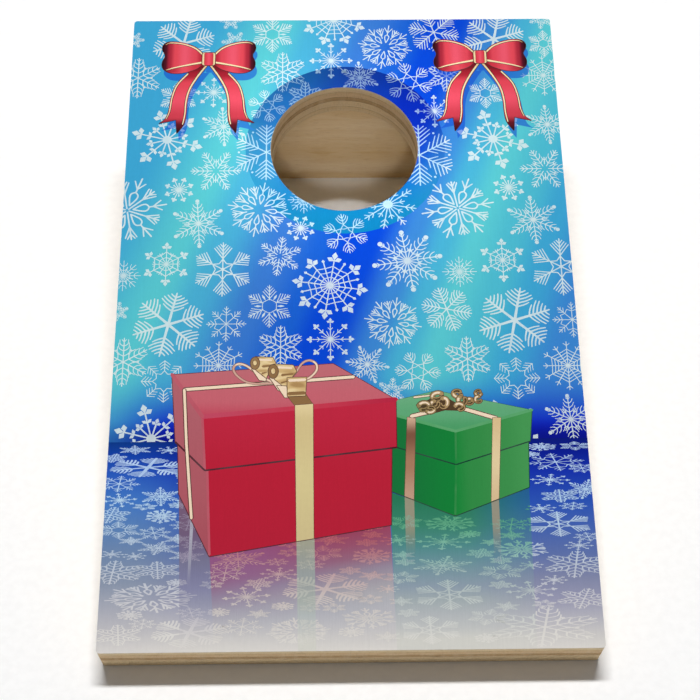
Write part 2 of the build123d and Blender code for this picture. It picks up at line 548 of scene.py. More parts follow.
def polar(radius, degrees):
    return radius * vec(cos(radians(degrees)), sin(radians(degrees)))


class Snowflake:
    """Marks for one arm, which points along x. A mark with mid=1 goes midway to the next arm.
    Each method before outlines() adds marks and returns the flake."""

    def __init__(self, arms, weight=1.0):
        self.arms, self.weight = arms, weight
        self.lines, self.shapes = [], []

    def line(self, points, weight=1.0, end_weight=None, mid=0):
        self.lines.append((points, weight, weight if end_weight is None else end_weight, mid))
        return self

    def spine(self, start, end, weight=1.0, end_weight=None, mid=0):
        return self.line(path(start, 0, end, 0), weight, end_weight, mid)

    def barbs(self, places, length, lean, bend=None, mid=0):
        """Twigs on both sides. With a bend they bow towards the tip of the arm."""
        for place in places:
            reach = length(place) if callable(length) else length
            for side in (-1, 1):
                start = vec(place, 0)
                twig = [start, start + polar(reach, side * lean)]
                if bend is not None:
                    twig.insert(1, start + polar(0.55 * reach, side * (lean + bend)))
                    twig = curve(twig, steps=3)
                self.line(twig, 1.0, 0.8 if bend is None else 0.7, mid)
        return self

    def leaf(self, place, length, width, lean=0.0, mid=0):
        for side in ((-1, 1) if lean else (1,)):
            way, across = polar(1, side * lean), polar(1, side * lean + 90)
            start = vec(place, 0)
            middle = start + 0.55 * length * way
            half = 0.5 * width * across
            self.shapes.append(([start, middle - half, start + length * way, middle + half], mid))
        return self

    def leaves(self, place, length, width, mid=0):
        """The tip of an arm: one pointed leaf ahead and one on each side."""
        self.leaf(place + 0.1 * length, length, width, mid=mid)
        return self.leaf(place, 0.85 * length, 0.9 * width, 66, mid)

    def dot(self, place, radius, mid=0):
        self.shapes.append((circle(vec(place, 0), radius, 10), mid))
        return self

    def loop(self, start, end, width):
        """A teardrop that is widest near its outer end."""
        for side in (-1, 1):
            points = path(start, 0, start + 0.55 * (end - start), side * width * 0.42,
                          start + 0.85 * (end - start), side * width * 0.4, end, 0)
            self.line(curve(points, steps=3))
        return self

    def web(self, on_arm, midway, weight=1.0):
        for side in (-1, 1):
            self.line([vec(on_arm, 0), polar(midway, side * 180 / self.arms)], weight)
        return self

    def hub(self, radius):
        self.shapes.append((circle(vec(0, 0), radius, 14), None))
        return self

    def outlines(self, centre, radius, turn=0.0, squash=1.0):
        """The flake's marks on the deck, in mm. A squash below 1 lays it down on the printed ice."""
        lying = squash < 1
        width = (PEN_BASE + PEN_GROWTH * radius) * self.weight * (ICE_HEFT if lying else 1)

        def turned(points, arm, mid):
            angle = Matrix.Rotation(radians(turn + 360 * (arm + mid / 2) / self.arms), 2)
            return [radius * (angle @ p) for p in points]

        made = []
        for arm in range(self.arms):
            for points, weight, end_weight, mid in self.lines:
                made += pen(turned(points, arm, mid), weight * width, end_weight * width, not lying)
            shapes = [shape for shape in self.shapes if shape[1] is not None or arm == 0]
            made += [turned(points, arm, mid or 0) for points, mid in shapes]
        return [[centre + vec(p.x, squash * p.y) for p in outline] for outline in made]


# Styles: six heavy arms of nested chevrons, teardrop petals ringed with twigs, and veined leaves with beads
def feathered(weight=1.45):
    return Snowflake(6, weight).spine(0, 1, 1.7, 0.9).barbs(
        (0.42, 0.53, 0.64, 0.75, 0.86), lambda r: min(0.82 * r, 0.98 * (1 - r) + 0.03), 58, 5).hub(0.08)


def petalled(arms, start=0.15, weight=1.3):
    flake = Snowflake(arms, weight).loop(start, 0.56, 1.3 / arms).spine(0.56, 1).barbs((0.66,), 0.26, 34)
    flake.spine(0.4 if start > 0.15 else 0.05, 0.86, mid=1)
    return flake.barbs((0.5,), 0.34, 25, mid=1).barbs((0.7,), 0.17, 34, mid=1)


def beaded(arms=6):
    return (Snowflake(arms, 0.95).spine(0, 0.92).dot(0.95, 0.075)
            .barbs((0.28, 0.46, 0.64), lambda r: 0.4 - 0.24 * r, 42, 14).barbs((0.8,), 0.1, 42)
            .spine(0, 0.5, mid=1).barbs((0.3,), 0.15, 38, mid=1))


# Six feathers that meet in the middle, and six close ferns round an open one
def pinnate(weight=1.1, bend=0, dots=True):
    flake = Snowflake(6, weight).spine(0, 1).barbs(
        (0.28, 0.42, 0.56, 0.7, 0.83), lambda r: min(1.05 * r, 0.85 * (1 - r) + 0.06), 47, bend)
    return flake.dot(0.84, 0.035, 1) if dots else flake


def starred(weight=0.9):
    return (Snowflake(6, weight).spine(0.3, 1)
            .barbs((0.36, 0.52, 0.68, 0.84), lambda r: 0.64 * (1.05 - r), 39)
            .leaf(0.3, 0.34, 0.1, mid=1).web(0.34, 0.29, 0.8))


# Crystals: leaf-tipped arms with shorter ones between, on a web, on a hub, in a posy or with a netted middle
webbed_crystal = Snowflake(8, 0.95).spine(0, 0.8).leaves(0.74, 0.25, 0.16).spine(0, 0.72, mid=1)
webbed_crystal.leaf(0.68, 0.12, 0.09, mid=1)
for place in (0.26, 0.42, 0.58):
    webbed_crystal.web(place, 0.9 * place, 0.8)
webbed_crystal.hub(0.05)
crystal = (Snowflake(6, 1.2).spine(0, 0.8).leaves(0.74, 0.27, 0.18).spine(0, 0.42, mid=1)
           .leaves(0.42, 0.17, 0.11, 1).leaf(0.46, 0.17, 0.1, 52).hub(0.13))
posy = (Snowflake(8, 1.1).spine(0, 0.74).leaves(0.72, 0.26, 0.2).spine(0, 0.42, mid=1).dot(0.46, 0.06, 1)
        .hub(0.12))
leaved = (Snowflake(6, 0.9).spine(0, 0.8).leaves(0.72, 0.26, 0.17).spine(0, 0.54, mid=1)
          .barbs((0.42,), 0.15, 48, mid=1).web(0.56, 0.44).web(0.3, 0.28))
arrowed = (Snowflake(8, 0.95).spine(0, 0.84).leaves(0.78, 0.2, 0.14).barbs((0.44,), 0.14, 45)
           .spine(0, 0.4, 0.8, mid=1))

# Ferns: on a small centre, closed round sprigs, and ringed as six fans or eight little firs
ferned = (Snowflake(6, 1.1).spine(0, 1).barbs((0.4, 0.54, 0.68, 0.82), lambda r: 0.78 * (1.02 - r), 36)
          .web(0.38, 0.24, 0.9).hub(0.06))
fern_lattice = (Snowflake(6).spine(0.14, 1).barbs((0.3, 0.48), 0.3, 40, 16)
                .barbs((0.68, 0.83), lambda r: 0.6 * (1.1 - r), 42).spine(0.22, 0.54, mid=1)
                .barbs((0.4,), 0.12, 45, mid=1))
wreath = (Snowflake(6).spine(0.42, 0.98).barbs((0.46, 0.62, 0.78), lambda r: 0.74 * (1.06 - r), 36, 12)
          .web(0.44, 0.3, 0.9).web(0.22, 0.3, 0.8))
lace_wreath = (Snowflake(8, 0.85).spine(0.48, 0.97).web(0.5, 0.36)
               .barbs((0.68, 0.83, 0.97), lambda r: 0.32 * r, 130))

# Rays: under chevrons, curling, crossing, and close together round a big hub
webbed = (Snowflake(6, 0.85).spine(0, 1).spine(0, 0.92, mid=1).barbs((0.84,), 0.15, 52)
          .barbs((0.76,), 0.14, 52, mid=1))
for place in (0.3, 0.43, 0.56, 0.69):
    webbed.web(place, place * 0.93 - 0.06, 0.9)
sprigged = (Snowflake(6).spine(0, 1, 1.1).barbs((0.24, 0.46, 0.66), lambda r: 0.56 - 0.36 * r, 30, 26)
            .barbs((0.84,), 0.13, 40).dot(0.4, 0.05, 1).dot(0.56, 0.04, 1))
octet = Snowflake(8, 0.85).spine(0, 1).barbs((0.6, 0.8), lambda r: 0.56 * (1.08 - r), 44).web(0.5, 0.64, 0.9)
sunned = Snowflake(8, 0.85).spine(0, 1).barbs((0.34, 0.62), 0.32, 42, 20).spine(0.1, 0.5, mid=1)
burst = (Snowflake(8).spine(0, 1).barbs((0.62, 0.8), 0.18, 44).spine(0, 0.6, mid=1)
         .barbs((0.42,), 0.14, 44, mid=1).hub(0.17))

# Where the flakes of each style lie in the sky: the turn of the style, and (across, up, radius) in mm
SKY_FLAKES = (
    (feathered(), 78, ((-53, 206.5, 10.5), (50.5, 207.5, 10.5), (-54, 101, 11), (51, 101.5, 11.3))),
    (webbed_crystal, 70, ((-3, 216, 11),)),
    (webbed_crystal, 81, ((-5, 114, 11.7),)),
    (crystal, 45, ((-57, 168, 11.5), (48, 167.5, 11.5), (-57.5, 63.5, 11), (46, 64, 11))),
    (petalled(8, 0.2, 1.05), 80, ((14, 204.5, 9), (-27, 141.5, 10), (14, 101, 8.7))),
    (petalled(6), 10, ((-68.5, 141.5, 12.5), (35.5, 141.5, 11.5))),
    (beaded(), 34, ((-46, 136.5, 8.7), (59, 137, 8.7), (65.5, 68.5, 8), (66, 173, 7.5), (-39, 173, 7.5),
                    (5.5, 192, 6.5))),
    (beaded(), 51, ((6, 87, 6.5),)),
    (beaded(8), 9, ((19, 122.5, 10.8),)),
    (ferned, 90, ((-38, 120, 9.5), (66.5, 120, 10))),
    (pinnate(), 90, ((-25, 163, 10.5), (24, 161.5, 11.5))),
    (pinnate(), 46, ((30.5, 210.5, 8.5),)),
    (pinnate(1.2, 12, False), 48, ((30.5, 105.5, 7.7),)),
    (burst, 80, ((13.5, 143, 9),)),
    (fern_lattice, 0, ((-41, 156, 8), (64, 156, 8), (-37.5, 216, 4), (-69.5, 208, 3.4), (-36, 207, 4.5))),
    (fern_lattice, 22, ((-20.5, 124.5, 7), (67, 216, 4.4), (-69.5, 105.5, 3.4), (13, 78, 4.5))),
    (leaved, 90, ((-55.5, 122, 7.8), (48.5, 122.5, 7.8))),
    (webbed, 90, ((-38.5, 87, 8), (66, 86, 8), (66, 192.5, 8))),
    (wreath, 41, ((21.5, 190, 8), (-25, 181, 6.5), (0, 132.5, 7.3))),
    (wreath, 55, ((21, 84.5, 7),)),
    (lace_wreath, 90, ((50.5, 82, 7), (-54.5, 82, 7))),
    (sprigged, 30, ((-67.5, 192.5, 8), (-20, 194.5, 8), (34, 192.5, 6.5), (-67, 88.5, 8), (36, 88.5, 7.5),
                    (-20, 93, 7.2), (-12.5, 184.5, 6))),
    (arrowed, 90, ((-4, 199, 7.3), (29.5, 178.5, 6.5), (-42.5, 186.5, 6), (-5, 95.5, 7.3))),
    (starred(1.1), 30, ((-23.5, 210, 7.5), (67, 205.5, 5.5), (46.5, 185.5, 6), (-54, 184.5, 6.5))),
    (starred(), 30, ((-23.5, 107, 7.3),)),
    (posy, 23, ((-52.5, 149, 4.9), (52, 149, 5.2), (-14, 134.5, 4.7))),
    (sunned, 90, ((35, 118.5, 5.3), (-68.5, 118, 5.3), (-13, 145, 5))),
    (octet, 90, ((-36.5, 101, 6), (68.5, 101.5, 6))),
)

# The flakes that lie on the ice: (across, up, half width, half height) in mm
ICE_FLAKES = (
    (-58, 54.5, 11.5, 3), (-66, 49.5, 6, 2.5), (-54, 45.5, 6, 2.8), (-65.5, 44.5, 5, 2.2), (-68, 40, 6, 2.5),
    (-53.5, 39.5, 5, 2.2), (-65.5, 35.5, 6.5, 2.6), (-55.5, 34.5, 5, 2), (-54, 30, 6, 2), (-66.5, 23, 9, 3.5),
    (-54, 23.5, 7, 2.6), (-55.5, 15.5, 13, 4.3), (-44.5, 5.5, 11, 4.4), (-35, 22.5, 6, 2.5),
    (-31.5, 26.5, 8.5, 3.3), (-29, 15.5, 7, 3), (-7, 17.5, 12.5, 4.6), (6, 27, 6, 2.5), (-7.5, 28, 6, 2.3),
    (-14.5, 5.5, 9, 4), (26, 24, 8.5, 2.8), (26.5, 31, 8, 2.4), (27.5, 15.5, 10.5, 4.4), (48.5, 28.5, 8, 2.8),
    (42.5, 22, 7, 2.3), (63.5, 24, 9.5, 4), (59.5, 36, 10, 3.8), (50.5, 16.5, 7.5, 2.8), (65, 14, 8, 3),
    (53.5, 6, 16, 5.6), (22, 5.5, 9, 4), (60, 55, 8.5, 2.8), (68, 46.5, 6, 3), (58, 49.5, 6, 1.8),
    (60.5, 44.5, 6, 2), (28.5, 36.5, 8, 2.4), (16, 37, 5, 2.2), (46, 36, 6, 2), (-62, 60, 5, 1.4),
    (-52, 59.8, 4, 1.2), (-68, 57.5, 4, 1.4), (56, 59.8, 5, 1.3), (66, 60, 5, 1.4), (67.5, 53, 4, 1.5),
    (-46, 27.5, 5, 2), (-20, 22, 5.5, 2), (-64, 5, 7, 3), (5, 9, 8, 3), (38, 9, 6, 2.4), (-30, 7, 6, 2.6),
)
BOLD_HALF_WIDTH = 8.8       # a flake on the ice at least this wide is of a bold style
SCATTER_SEED, SCATTER_TRIES = 5, 2500
SCATTER_RANGES = ((-68, 68), (3, HORIZON - 1), (3.2, 5.5))      # across, up, half width
HIDDEN_BY_GIFTS = (-41, 51, 36)     # from across, to across, and above

# The layers of snowflakes, each with the lowest middle of its flakes, up the deck
SNOW_LAYERS = {"snowflakes_near": -20, "snowflakes_on_ice": 14, "snowflakes_beyond": 27, "snowflakes_far": 37,
               "snowflakes_low": HORIZON, "snowflakes_middle": 104, "snowflakes_high": 148}
snow = {name: Relief(FILM - INK, FILM + INK) for name in SNOW_LAYERS}


def lay_flake(up, outlines, regions):
    """Adds one flake to its layer, where it falls on the named regions of the print."""
    xs, ys = zip(*[p for outline in outlines for p in outline])
    near = []
    for name, outline in REGIONS + [("hole", film_hole)]:
        region_xs, region_ys = zip(*outline)
        if (max(region_xs) >= min(xs) and min(region_xs) <= max(xs)
                and max(region_ys) >= min(ys) and min(region_ys) <= max(ys)):
            near.append((name, outline))

    def pick(ids):
        if 0 not in ids or max(ids) < len(near):
            return None
        name = near[max(i for i in ids if i < len(near))][0]
        return name if name in regions else None

    layer = [name for name, lowest in SNOW_LAYERS.items() if lowest <= up][-1]
    snow[layer].lay([outline for _, outline in near] + outlines, pick)


for flake, turn, places in SKY_FLAKES:
    for across, up, radius in places:
        lay_flake(up, flake.outlines(vec(across, up), radius, turn), ABOVE_HORIZON)

ice_flakes = list(ICE_FLAKES)
scatter = random.Random(SCATTER_SEED)
for _ in range(SCATTER_TRIES):
    across, up, half_width = [scatter.uniform(*ends) for ends in SCATTER_RANGES]
    half_height = half_width * (0.4 - 0.0025 * up)
    hidden = HIDDEN_BY_GIFTS[0] < across < HIDDEN_BY_GIFTS[1] and up > HIDDEN_BY_GIFTS[2]
    crowded = any(((across - x) / (half_width + w)) ** 2 + ((up - y) / (half_height + h)) ** 2 < 0.8
                  for x, y, w, h in ice_flakes)
    if not hidden and not crowded:
        ice_flakes.append((across, up, half_width, half_height))

bold_styles = (feathered(1.5), sprigged, ferned, petalled(8, 0.2))
fine_styles = (starred(), octet, beaded(), arrowed, sprigged, petalled(6))
for number, (across, up, half_width, half_height) in enumerate(ice_flakes):
    styles = bold_styles if half_width >= BOLD_HALF_WIDTH else fine_styles
    flake = styles[number % len(styles)]
    turn = 78 + 7 * (number % 4)
    outlines = flake.outlines(vec(across, up), half_width, turn, half_height / half_width)
    lay_flake(up, outlines, BELOW_HORIZON)

for name, relief in snow.items():
    layer = relief.build(name, ink_materials)
    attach(layer, "root")

# ---- The printed gifts and bows ----

GIFT_INK = 0.04         # the gifts' and bows' ink covers the snow's


def draw_rolled_bow(art):
    """The gold bow on the red gift: two see-through loops, two rolled ones and a square tab in front."""
    left_loop = path(-20.5, 81.2, -26.5, 80.9, -30.2, 81.6, -33.2, 84, -34, 86.2, -32.6, 87.5, -30.4, 87,
                     -27.4, 84.8, -24.2, 82.4, -20.8, 80.8)
    right_loop = path(-17.6, 82.3, -15.6, 84.2, -13.6, 87.4, -11.4, 88.5, -9.4, 87.4, -9.2, 85.2, -11, 83,
                      -12.6, 82.2)
    for loop in (left_loop, right_loop):
        smooth = curve(loop)
        art.line("gift_gold_line", smooth, 0.75, 1.1)
        art.line("gift_sheer", smooth, 0.5, 0.8)
        art.line("gift_pale", smooth[len(smooth) // 2:], 0.45, 0.25)
    for x, y, size in ((-25.6, 87.4, 1.0), (-19.9, 84.6, 1.12)):
        def at(*numbers):
            return [vec(x + size * a, y + size * b) for a, b in pairs(*numbers)]

        art.shape("gift_pale", at(-2.9, -1.6, -0.6, -5.3, 1.2, -5.6, 1.9, -2.4), "gift_gold_line")
        body = at(-1.9, 2.4, 3.3, 2.1, 4.2, 0.2, 2.3, -2.4, 1.4, -4.6, -1.6, -2.0, -1.7, 0.4)
        art.shape("gift_gold", body, "gift_gold_line")
        art.line("gift_pale", at(-0.6, 1.5, 2.9, 1.2), 0.8, 0.5)
        art.line("gift_gold_dark", at(0.4, -0.8, 3.2, -0.5), 0.8, 0.5)
        art.line("gift_gold_dark", at(0.2, -3.1, 1.5, -2.7), 0.6, 0.4)
        roll = [vec(x + size * (1.3 * cos(a) - 2.0), y + size * (2.0 * sin(a) + 0.3))
                for a in [2 * pi * k / 16 for k in range(16)]]
        art.shape("gift_gold_dark", roll, "gift_gold_line")
        middle = vec(x - 2.0 * size, y + 0.3 * size)
        inner = [vec(x - 2.0 * size, y + 0.4 * size) + 0.42 * (p - middle) for p in roll]
        art.shape("gift_gold", inner, "gift_gold_line", 0.3)
    art.shape("gift_pale", path(-21, 80.2, -18.2, 80, -17.7, 76.4, -18.6, 76.3), "gift_gold_line")
    art.shape("gift_gold", path(-17.8, 76.7, -12.6, 76.9, -12.2, 82.9, -17.9, 82.8), "gift_gold_line")
    art.line("gift_pale", path(-17.3, 81.9, -12.7, 82.1), 0.9)
    art.line("gift_gold_dark", path(-17.4, 77.6, -12.8, 77.8), 1.1)


def draw_red_gift(art):
    back_left, back_right, right, front = path(-52.2, 84.2, -4.2, 87.4, 14.2, 75.4, -42.8, 70.4)
    lid_front, lid_right, lid_left = path(-41.6, 53.4, 14, 60, -50.4, 62.4)
    low_front, low_right, low_left = path(-39.6, 27.4, 11.8, 36.2, -48.8, 46.2)
    inset = vec(0.7, 0)
    for label, outline in (
        ("red_side", [lid_left + inset, low_left, low_front, lid_front + inset]),
        ("red_front", [lid_front + inset, low_front, low_right, lid_right - 2 * inset]),
        ("red_side", [back_left, lid_left, lid_front, front]),
        ("red_front", [front, lid_front, lid_right, right]),
    ):
        art.shape(label, outline, "red_line")
    for top, bottom in ((front, lid_front), (lid_front + inset, low_front + vec(0, 0.5))):
        art.line("red_side_rim", [top, bottom], 0.7)
    art.line("red_line", [lid_left, lid_front, lid_right], 0.55)
    art.fill("red_top", [back_left, front, right, back_right])
    art.line("red_line", [back_left, back_right, right], 0.2)
    art.line("red_rim", [front, right], 1.5)
    art.line("red_side_rim", [back_left, front], 1.2)
    for ribbon, edge_width, width in ((path(-48.4, 79.2, -24, 81, 1.8, 82.9), 1.5, 0.95),
                                      (path(-48.4, 79.2, -47.2, 62, -45, 38.8), 1.3, 0.75)):
        art.line("gold_edge", ribbon, edge_width)
        art.line("gift_pale", ribbon, width)
    band_top = path(-15.6, 73.6, -10.3, 74, -12.6, 77.6, -18.2, 77.2)
    art.shape("gift_gold_dark", band_top, "gold_edge", 0.25)
    art.shape("red_ribbon", path(-15.6, 73.8, -15.1, 31.6, -10.2, 32.4, -10.3, 74.2), "gold_edge", 0.3)
    draw_rolled_bow(art)


# The little curled ribbons on the green gift: across and up, half width and half height, tilt of the loop,
# where it starts and how far it goes round, and the ribbon's width
CURLS = (
    (38.7, 77.2, 0.85, 0.8, 10, 340, -300, 0.9), (38.5, 75.2, 0.85, 0.9, 0, 60, 280, 0.95),
    (35.9, 74.6, 0.95, 0.8, 20, 20, 310, 1.0), (32.5, 77.0, 1.25, 0.95, -15, 350, -290, 1.25),
    (33.7, 74.9, 1.1, 1.2, 10, 100, 290, 1.25), (32.9, 72.9, 1.2, 0.95, -20, 200, -280, 1.15),
    (26.5, 76.4, 1.6, 1.05, 12, 20, 300, 1.25), (28.3, 74.2, 1.15, 1.5, -12, 130, -290, 1.25),
    (25.6, 73.7, 1.2, 1.0, 30, 60, 300, 1.15), (22.4, 73.1, 1.6, 1.2, 15, 160, -300, 1.25),
    (24.3, 71.9, 1.15, 0.8, 10, 190, 280, 1.1),
)


def draw_curly_bow(art):
    """Loops of curled ribbon: each is light along its first half and dark near its end."""
    art.line("curl_line", path(19.6, 76, 25.4, 76.7), 0.9, 0.7)
    art.line("gift_pale", path(19.6, 76, 25.4, 76.7), 0.55, 0.4)
    knot = path(21.4, 71.6, 25, 70.9, 28.6, 71.9, 33.2, 71.7, 34.6, 73.2, 31.5, 74.2, 28.4, 76.2, 25.2, 75.8,
                21.8, 74)
    art.shape("curl_inside", knot, "curl_line", 0.4)
    for x, y, wide, high, turn, start, sweep, width in CURLS:
        tilt = Matrix.Rotation(radians(turn), 2)
        angles = [radians(start + sweep * k / 15) for k in range(16)]
        loop = [vec(x, y) + tilt @ vec(wide * cos(a), high * sin(a)) for a in angles]
        art.line("curl_line", loop, width + 0.4)
        art.line("curl_ribbon", loop, width)
        art.line("gift_pale", loop[2:9], 0.55 * width, 0.3 * width)
        art.line("curl_inside", loop[10:15], 0.35 * width, 0.55 * width)


def draw_green_gift(art):
    back, right, front, left = path(26.3, 78.1, 54.2, 71.6, 31.4, 65, 5.2, 72.9)
    lid_left, lid_front, lid_right = path(5, 63, 31.1, 54.5, 53, 61.6)
    low_left, low_front, low_right = path(5, 49.5, 30.2, 38.8, 51.8, 47.3)
    for label, outline in (
        ("green_left", [lid_left, low_left, low_front, lid_front]),
        ("green_right", [lid_front, low_front, low_right, lid_right - vec(0.5, 0)]),
        ("green_left", [left, lid_left, lid_front, front]),
        ("green_right", [front, lid_front, lid_right, right]),
    ):
        art.shape(label, outline, "green_line")
    for top, bottom in ((front, lid_front), (lid_front, low_front + vec(0, 0.5))):
        art.line("green_edge", [top, bottom], 0.6)
    art.line("green_line", [lid_left, lid_front, lid_right], 0.32)
    art.shape("green_top", [left, front, right, back], "green_line", 0.22)
    art.line("green_rim", [left, front, right], 0.9)
    for ribbon in (path(18.6, 69.9, 25.4, 71.6), path(34, 72.2, 43.6, 69)):
        art.line("gold_edge", ribbon, 1.5, 1.6)
        art.line("gift_pale", ribbon, 1.0, 1.1)
    art.shape("brown_ribbon", path(17.4, 69.6, 15.9, 44.9, 18.5, 43.8, 19.8, 69.2), "gold_edge", 0.25)
    art.shape("tan_ribbon", path(42.5, 69.2, 40.7, 43, 42.9, 43.9, 44.9, 69.2), "gold_edge", 0.25)
    draw_curly_bow(art)


def flat_paint(colour):
    """A printed colour that wanders a little in tone."""
    def paint(s, deck_point, u, v):
        drift = s.noise(deck_point, 0.12, 2.0)
        return s.mix(s.span(drift, 0.3, 0.7, 0.0, 0.16), colour, s.mix(0.25, colour, "FFFFFF"))
    return paint


def across_paint(stops):
    return lambda s, deck_point, u, v: s.ramp(u, stops)


def up_paint(stops):
    return lambda s, deck_point, u, v: s.ramp(v, stops)


def bow_paint(stops):
    """A colour by the distance from the middle of whichever bow is nearer."""
    def paint(s, deck_point, u, v):
        middle = (BOW_CENTRES[0].x + BOW_CENTRES[1].x) / 2
        apart = (BOW_CENTRES[1].x - BOW_CENTRES[0].x) / 2
        nearer = s.math("SUBTRACT", s.math("ABSOLUTE", s.math("SUBTRACT", u, middle)), apart)
        return s.ramp(s.math("ABSOLUTE", nearer), stops)
    return paint


def gold_paint(s, deck_point, u, v):
    bands = s.noise(s.stretched(deck_point, 0.1, 0.42, 0.3), 1.0, 1.0)
    return s.ramp(bands, "0.3 AE8A5A 0.45 D0B07A 0.55 E6CE9C 0.7 BE9C68")


PAINTS = {
    "red_front": up_paint("27 B41E36 50 B81E36 75 BE2640"),
    "red_rim": across_paint("-42 C04860 -10 C4384E 14 B62642"),
    "red_side": up_paint("28 A8505C 50 AE5A64 84 B0626C"),
    "red_top": up_paint("70 C0485C 76 C4626E 87 BC6A72"),
    "red_ribbon": up_paint("31 CFBE8C 50 D6C690 68 D2BE8A 74 E0CC9A"),
    "green_left": across_paint("5 186438 15 147238 30 107E36"),
    "green_right": across_paint("30 168438 36 308A44 44 3A8E4A 53 449652"),
    "green_top": up_paint("66 4C9C66 71 5EA676 78 6CAC80"),
    "brown_ribbon": up_paint("44 C09A82 55 A87A5E 64 7E5440 70 D0AC90"),
    "tan_ribbon": up_paint("43 D8BC92 55 E2CCA0 70 D8BC8C"),
    "gift_gold": gold_paint,
    "gift_gold_dark": across_paint("-34 9C7C56 -18 8C6A44 10 8A6844 40 7C5C3C"),
    "curl_ribbon": across_paint("20 8E7C52 28 AA8E62 40 9A7E54"),
    "curl_inside": across_paint("18 463E26 30 523C26 40 564630"),
    "bow_loop": bow_paint("1.6 7C1424 2.6 B82A3C 4.5 DA4656 8 E6566A 11 DC4654 12.8 A8283A 14.3 481020 "
                          "15.6 0C0408"),
    "bow_inside": bow_paint("1.6 8C1826 4 C83444 8 E04C5C 12 B02E3E 15 50101C"),
    "bow_knot": bow_paint("0 E45064 0.9 D84050 1.8 98202E"),
    "bow_tail": up_paint("170.5 1C060C 173.5 5A1420 177 C83C4C 184 E65064 190 DC4454 193.5 A42030 "
                         "196.5 741420"),
    "bow_gold": bow_paint("0 D8B484 3 F0DCAC 12 F2DEB0 14.5 B8905C 15.6 6A4C30"),
}
FLAT_COLOURS = {
    "red_side_rim": "B85060", "red_line": "4A0E20", "gold_edge": "5A2C2A", "green_edge": "128236",
    "green_rim": "50A064", "green_line": "063C2C", "gift_gold_line": "5A3A24", "gift_pale": "F0D8BC",
    "gift_sheer": "CDA090", "curl_line": "4A3420", "bow_line": "3C0C14",
}
PAINTS.update({label: flat_paint(colour) for label, colour in FLAT_COLOURS.items()})
paint_materials = {}
for label, paint in PAINTS.items():
    s, deck_point, u, v = print_shader("ink_" + label)
    paint_materials[label] = finish_print(s, deck_point, paint(s, deck_point, u, v))

gifts = Drawing()
draw_green_gift(gifts)
draw_red_gift(gifts)
for name, parts in (("gifts", [gifts]), ("ribbon_bows", bows)):
    relief = Relief(FILM - INK, FILM + GIFT_INK)
    for art in parts:
        art.lay_on(relief)
    layer = relief.build("printed_" + name, paint_materials)
    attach(layer, "root")

# ---- Plywood boards: each has a frame with x and y in its outer face and z out of it, in mm ----

GLUE_LINES = (2.4, 5.3, 7.0, 10.3)      # depths where the plies of the board meet
GROOVE_WIDTH, GROOVE_DEPTH = 0.11, 0.05
EDGE_STEP = 1.6         # between points along an edge
SAW_WAVER = 0.035
SHARP_ANGLE = 35        # degrees
DECK_ARRIS, ARRIS = 0.12, 0.25          # how far the corners of the boards are eased
FACE, EDGE = 0, 1       # material slots

BIRCH_LIGHT, BIRCH, BIRCH_WARM, BIRCH_DARK = "F2DCB8", "E8CC9E", "DCB880", "A8805A"


def board_frame(x_axis, y_axis, origin):
    x_axis, y_axis = Vector(x_axis), Vector(y_axis)
    columns = Matrix((x_axis, y_axis, x_axis.cross(y_axis))).transposed().to_4x4()
    return Matrix.Translation(origin) @ columns @ Matrix.Scale(MM, 4)


def resample(outline, step):
    """The same closed outline with points about a step apart. Its corners stay."""
    line = []
    for a, b in zip(outline, outline[1:] + outline[:1]):
        count = max(1, round((b - a).length / step))
        line += [a.lerp(b, i / count) for i in range(count)]
    return line


def inward(outline):
    """At each point of a counter-clockwise outline, the way that moves its edges inwards by one."""
    ways = []
    for before, here, after in zip(outline[-1:] + outline[:-1], outline, outline[1:] + outline[:1]):
        a, b = (here - before).normalized(), (after - here).normalized()
        normal_a, normal_b = vec(-a.y, a.x), vec(-b.y, b.x)
        ways.append((normal_a + normal_b) / (1 + normal_a.dot(normal_b)))
    return ways


def edge_profile(arris):
    """(depth, inset) down the edge of a board: eased corners and a hair of a groove at each glue line."""
    profile = [(0, arris), (0.29 * arris, 0.29 * arris), (arris, 0)]
    for depth in GLUE_LINES:
        profile += [(depth - GROOVE_WIDTH, 0), (depth, GROOVE_DEPTH), (depth + GROOVE_WIDTH, 0)]
    return profile + [(PLY - arris, 0), (PLY - 0.29 * arris, 0.29 * arris), (PLY, arris)]


def ring_pairs(ring):
    return list(zip(ring, ring[1:] + ring[:1]))


